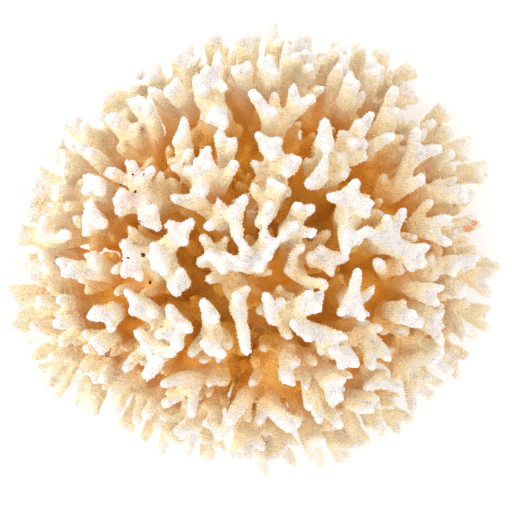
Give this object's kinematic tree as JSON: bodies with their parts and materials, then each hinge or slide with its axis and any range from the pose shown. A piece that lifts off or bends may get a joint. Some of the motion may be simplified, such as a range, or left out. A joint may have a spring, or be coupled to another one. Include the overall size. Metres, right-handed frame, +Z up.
{
  "type": "branching coral",
  "caption": "Dome-shaped dried colony of branching coral with forked, rough fingers and pale tips, cut off flat underneath.",
  "frame": {"origin": "on the flat cut underneath, below the middle of the colony's outline from above", "axes": "+X to the colony's right and +Y to its far side as seen from above, +Z up from the flat cut"},
  "size_m": [0.2234, 0.2064, 0.1149],
  "materials": {
    "skeleton": "matte"
  },
  "bodies": {
    "root": {"base": "skeleton", "limb_north": "skeleton", "limb_crown": "skeleton", "limb_heart": "skeleton", "limb_north_east": "skeleton", "limb_east_north": "skeleton", "limb_east": "skeleton", "limb_south_east": "skeleton", "limb_south_south_east": "skeleton", "limb_south_lower": "skeleton", "limb_south_west": "skeleton", "limb_west_south": "skeleton", "limb_west": "skeleton", "limb_north_west": "skeleton", "limb_west_north": "skeleton", "branch_crown_1": "skeleton", "branch_crown_2": "skeleton", "branch_crown_3": "skeleton", "branch_east_1": "skeleton", "branch_east_2": "skeleton", "branch_east_3": "skeleton", "branch_east_4": "skeleton", "branch_east_north_1": "skeleton", "branch_east_north_2": "skeleton", "branch_east_north_3": "skeleton", "branch_heart_1": "skeleton", "branch_heart_2": "skeleton", "branch_heart_3": "skeleton", "branch_heart_4": "skeleton", "branch_north_1": "skeleton", "branch_north_2": "skeleton", "branch_north_3": "skeleton", "branch_north_east_1": "skeleton", "branch_north_east_2": "skeleton", "branch_north_east_3": "skeleton", "branch_north_west_1": "skeleton", "branch_north_west_2": "skeleton", "branch_north_west_3": "skeleton", "branch_south_east_1": "skeleton", "branch_south_east_2": "skeleton", "branch_south_east_3": "skeleton", "branch_south_lower_1": "skeleton", "branch_south_lower_2": "skeleton", "branch_south_lower_3": "skeleton", "branch_south_south_east_1": "skeleton", "branch_south_south_east_2": "skeleton", "branch_south_south_east_3": "skeleton", "branch_south_west_1": "skeleton", "branch_south_west_2": "skeleton", "branch_south_west_3": "skeleton", "branch_west_1": "skeleton", "branch_west_2": "skeleton", "branch_west_3": "skeleton", "branch_west_north_1": "skeleton", "branch_west_north_2": "skeleton", "branch_west_north_3": "skeleton", "branch_west_south_1": "skeleton", "branch_west_south_2": "skeleton", "branch_west_south_3": "skeleton"}
  },
  "joints": []
}
